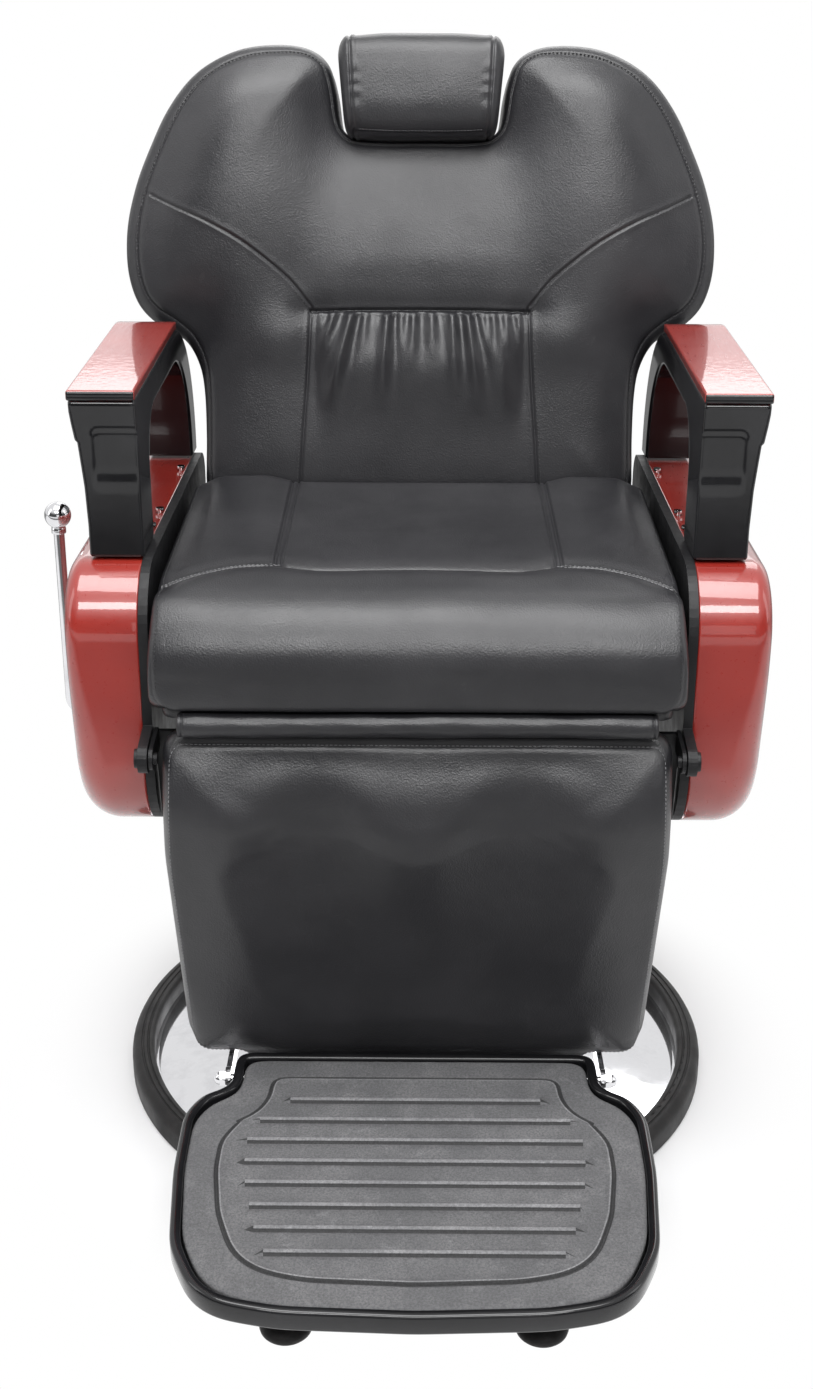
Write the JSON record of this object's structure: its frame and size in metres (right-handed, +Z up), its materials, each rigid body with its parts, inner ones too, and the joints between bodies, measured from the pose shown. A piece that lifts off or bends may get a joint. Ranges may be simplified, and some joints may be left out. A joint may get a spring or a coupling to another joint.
{
  "type": "hydraulic barber chair",
  "caption": "Hydraulic barber chair with a two-lobed reclining back, sliding headrest, coupled leg rest, fold-up footrest, glossy armrests, swivel column and round base.",
  "frame": {"origin": "on the floor, at the axis of the lift column", "axes": "+Z up along the lift column, the sitter faces -Y, +X to the viewer's right when facing the seat"},
  "size_m": [0.781, 1.0468, 1.1617],
  "materials": {
    "black_leather": "fine-grained upholstery leather, satin",
    "red_lacquer": "deep red high-gloss lacquer",
    "gloss_black": "moulded, high gloss",
    "chrome": "polished chrome",
    "black_rubber": "moulded, satin",
    "grey_rubber": "ribbed mat, worn matte",
    "black_steel": "black powder coat, semi-gloss",
    "steel": "machined steel",
    "plywood": "bare birch plywood"
  },
  "bodies": {
    "base": {"base_ring": "black_rubber", "base_dish": "chrome", "pump_cylinder": "steel", "pump_bolts": "steel", "column_cover": "chrome", "cover_collar": "gloss_black"},
    "pedal": {"pedal_arm": "chrome", "pedal_pad": "black_rubber"},
    "lift": {"lift_piston": "steel", "lift_sleeve": "chrome", "swivel_washer": "gloss_black"},
    "seat": {"swivel_plate": "black_steel", "frame_rail_left": "black_steel", "frame_rail_right": "black_steel", "front_crossbar": "black_steel", "rear_crossbar": "black_steel", "seat_board": "plywood", "seat_cushion": "black_leather", "front_roll": "black_leather", "side_panel_left": "black_steel", "side_panel_right": "black_steel", "side_shell_left": "red_lacquer", "side_shell_right": "red_lacquer", "arm_left": "gloss_black", "arm_right": "gloss_black", "arm_cap_left": "red_lacquer", "arm_cap_right": "red_lacquer", "shell_screws": "chrome", "back_shaft": "chrome", "lock_cylinder": "steel", "leg_pivot_pins": "black_steel"},
    "back": {"back_arm_left": "black_steel", "back_arm_right": "black_steel", "torque_tube": "black_steel", "back_board": "plywood", "back_panel": "black_leather", "back_cushion": "black_leather", "headrest_sockets": "gloss_black"},
    "headrest": {"headrest_posts": "chrome", "headrest_bracket": "steel", "headrest_cushion": "black_leather"},
    "legrest": {"leg_board": "plywood", "leg_cushion": "black_leather", "leg_bracket_left": "black_steel", "leg_bracket_right": "black_steel", "footrest_arm_left": "chrome", "footrest_arm_right": "chrome", "footrest_nuts": "chrome"},
    "link_left": {"link_left": "chrome"},
    "link_right": {"link_right": "chrome"},
    "lock_rod": {"lock_rod": "chrome"},
    "lever": {"recline_lever": "chrome", "lever_knob": "chrome"},
    "footrest": {"footrest_plate": "gloss_black", "footrest_mat": "grey_rubber", "footrest_feet": "black_rubber", "foot_stems": "chrome"}
  },
  "joints": [
    {"name": "lift_height", "type": "slide", "parent": "base", "child": "lift", "axis": [0, 0, 1], "range_m": [0, 0.16]},
    {"name": "seat_swivel", "type": "hinge", "parent": "lift", "child": "seat", "pos_m": [0, 0, 0.434], "axis": [0, 0, 1], "continuous": true},
    {"name": "back_recline", "type": "hinge", "parent": "seat", "child": "back", "pos_m": [0, 0.235, 0.56], "axis": [-1, 0, 0], "range_deg": [0, 50]},
    {"name": "leg_raise", "type": "hinge", "parent": "seat", "child": "legrest", "pos_m": [0, -0.235, 0.5], "axis": [-1, 0, 0], "range_deg": [0, 50]},
    {"name": "headrest_height", "type": "slide", "parent": "back", "child": "headrest", "axis": [0, 0.2588, 0.9659], "range_m": [0, 0.08]},
    {"name": "link_left_turn", "type": "hinge", "parent": "back", "child": "link_left", "pos_m": [-0.239, 0.303, 0.53], "axis": [-1, 0, 0], "range_deg": [-50, 0]},
    {"name": "link_right_turn", "type": "hinge", "parent": "back", "child": "link_right", "pos_m": [0.239, 0.303, 0.53], "axis": [-1, 0, 0], "range_deg": [-50, 0]},
    {"name": "lock_stroke", "type": "slide", "parent": "seat", "child": "lock_rod", "axis": [0, -1, 0], "range_m": [0, 0.05091]},
    {"name": "lever_pull", "type": "hinge", "parent": "seat", "child": "lever", "pos_m": [-0.3, 0.05, 0.43], "axis": [-1, 0, 0], "range_deg": [0, 20], "stiffness_Nm_per_rad": 12, "springref_deg": -8.59},
    {"name": "footrest_fold", "type": "hinge", "parent": "legrest", "child": "footrest", "pos_m": [0, -0.232, 0.11202], "axis": [-1, 0, 0], "range_deg": [0, 70]},
    {"name": "pedal_press", "type": "hinge", "parent": "base", "child": "pedal", "pos_m": [0, 0.102, 0.086], "axis": [-1, 0, 0], "range_deg": [0, 6], "stiffness_Nm_per_rad": 60, "springref_deg": -11.46}
  ],
  "couplings": [
    {"joint": "leg_raise", "follows": "back_recline", "ratio": 1},
    {"joint": "link_left_turn", "follows": "back_recline", "ratio": -1},
    {"joint": "link_right_turn", "follows": "back_recline", "ratio": -1},
    {"joint": "lock_stroke", "follows": "back_recline", "m_per_rad": 0.058114}
  ]
}
